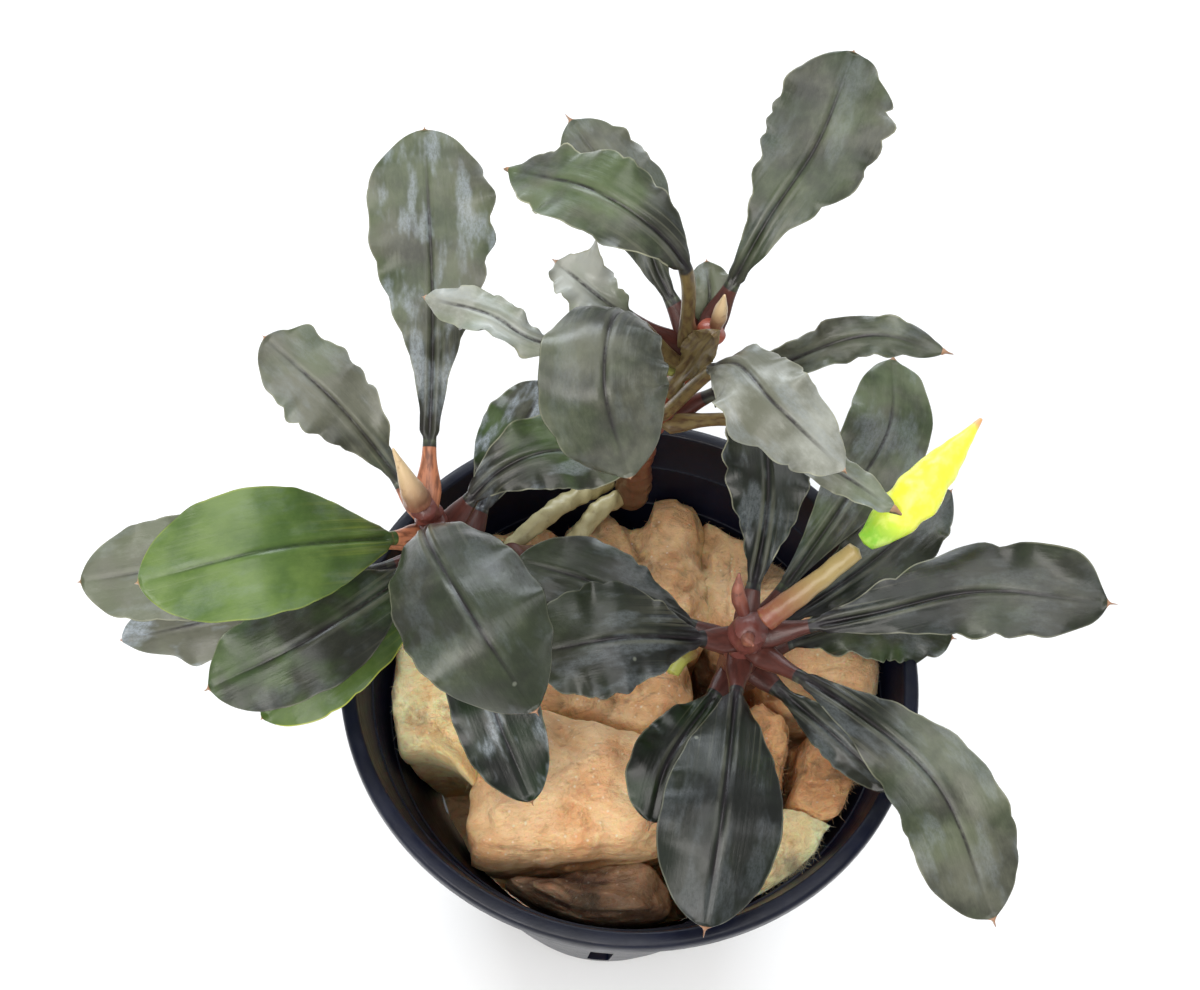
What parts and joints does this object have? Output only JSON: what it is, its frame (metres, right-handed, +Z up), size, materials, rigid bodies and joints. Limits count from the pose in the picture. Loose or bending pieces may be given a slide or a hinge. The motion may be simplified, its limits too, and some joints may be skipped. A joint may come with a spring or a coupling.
{
  "type": "potted bucephalandra",
  "caption": "Aquarium plant with three rosettes of dark wavy leaves on short red stems and a young yellow spathe, rooted in stone wool in a small round pot.",
  "frame": {"origin": "centre of the pot's underside", "axes": "+Z up, +X to the right and -Y towards the viewer of the picture"},
  "size_m": [0.0908, 0.0673, 0.0929],
  "materials": {
    "pot_plastic": "black moulded plastic, slightly glossy",
    "stone_wool": "tan wet stone wool, fibrous and matte",
    "leaf_dark": "dark grey-green leaf with a bluish gloss",
    "leaf_green": "fresh green leaf, satin",
    "crown_red": "red-brown stem, smooth",
    "sheath_pink": "pink-tan bract, smooth",
    "stalk_tan": "tan flower stalk, smooth",
    "spathe_yellow": "yellow-green spathe, smooth",
    "pale_strand": "pale yellowish strand, smooth"
  },
  "bodies": {
    "root": {"pot": "pot_plastic", "wool_bed": "stone_wool", "wool_back": "stone_wool", "wool_back_right": "stone_wool", "wool_left_back": "stone_wool", "wool_left": "stone_wool", "wool_front": "stone_wool", "wool_middle": "stone_wool", "wool_front_edge": "stone_wool", "wool_straw": "stone_wool", "wool_right_middle": "stone_wool", "wool_right": "stone_wool", "wool_right_back": "stone_wool", "left_stem": "crown_red", "back_stem": "crown_red", "front_stem": "crown_red", "left_leaf_1": "leaf_dark", "left_leaf_2": "leaf_dark", "left_leaf_3": "leaf_green", "left_leaf_4": "leaf_dark", "left_leaf_5": "leaf_dark", "left_leaf_6": "leaf_dark", "left_leaf_7": "leaf_green", "left_leaf_8": "leaf_dark", "left_leaf_9": "leaf_dark", "left_leaf_10": "leaf_dark", "left_leaf_11": "leaf_dark", "back_leaf_1": "leaf_dark", "back_leaf_2": "leaf_dark", "back_leaf_3": "leaf_dark", "back_leaf_4": "leaf_dark", "back_leaf_5": "leaf_dark", "back_leaf_6": "leaf_dark", "back_leaf_7": "leaf_dark", "back_leaf_8": "leaf_dark", "back_leaf_9": "leaf_dark", "back_leaf_10": "leaf_dark", "back_leaf_11": "leaf_dark", "front_leaf_1": "leaf_dark", "front_leaf_2": "leaf_dark", "front_leaf_3": "leaf_dark", "front_leaf_4": "leaf_dark", "front_leaf_5": "leaf_dark", "front_leaf_6": "leaf_dark", "front_leaf_7": "leaf_dark", "front_leaf_8": "leaf_dark", "front_leaf_9": "leaf_dark", "front_leaf_10": "leaf_dark", "front_leaf_11": "leaf_dark", "left_sheath": "sheath_pink", "back_sheath": "sheath_pink", "front_sheath_1": "crown_red", "front_sheath_2": "crown_red", "flower_stalk": "stalk_tan", "spathe": "spathe_yellow", "old_stalk": "pale_strand", "runner_1": "pale_strand", "runner_2": "pale_strand"}
  },
  "joints": []
}
